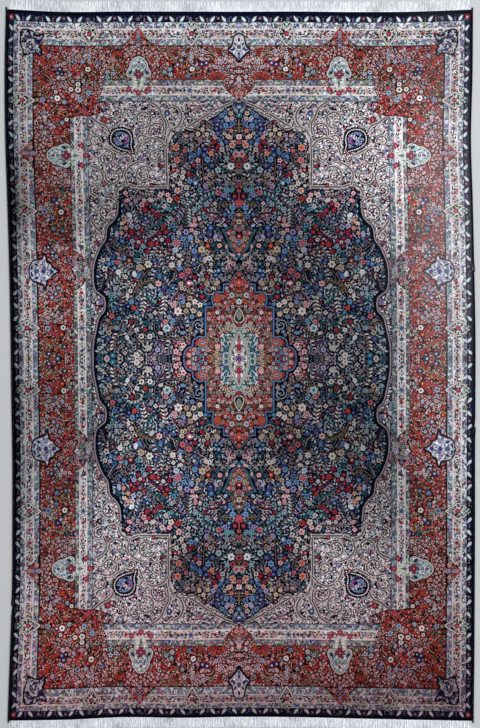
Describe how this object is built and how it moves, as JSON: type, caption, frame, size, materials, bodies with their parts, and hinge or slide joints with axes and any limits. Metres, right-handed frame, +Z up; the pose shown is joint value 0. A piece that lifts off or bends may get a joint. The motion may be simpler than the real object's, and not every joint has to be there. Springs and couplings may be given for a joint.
{
  "type": "persian rug",
  "caption": "Room-size hand-knotted Persian rug with a floral medallion field, lying flat, with corded side edges and a knotted cotton fringe at each end.",
  "frame": {"origin": "middle of the whole rug's box, fringe included, at floor level", "axes": "+Z up out of the pile; +Y along the rug's length, towards the end shown at the top of the picture; +X across it, to the picture's right"},
  "size_m": [2.7346, 4.257, 0.01],
  "materials": {
    "pile_wool": "clipped hand-knotted wool pile in brick red, navy, ivory and teal, with a soft sheen",
    "selvedge_wool": "navy wool overcasting, matt",
    "fringe_cotton": "bleached cotton warp yarn, matt"
  },
  "bodies": {
    "root": {"pile": "pile_wool", "selvedge_left": "selvedge_wool", "selvedge_right": "selvedge_wool", "fringe_top": "fringe_cotton", "fringe_bottom": "fringe_cotton"}
  },
  "joints": []
}
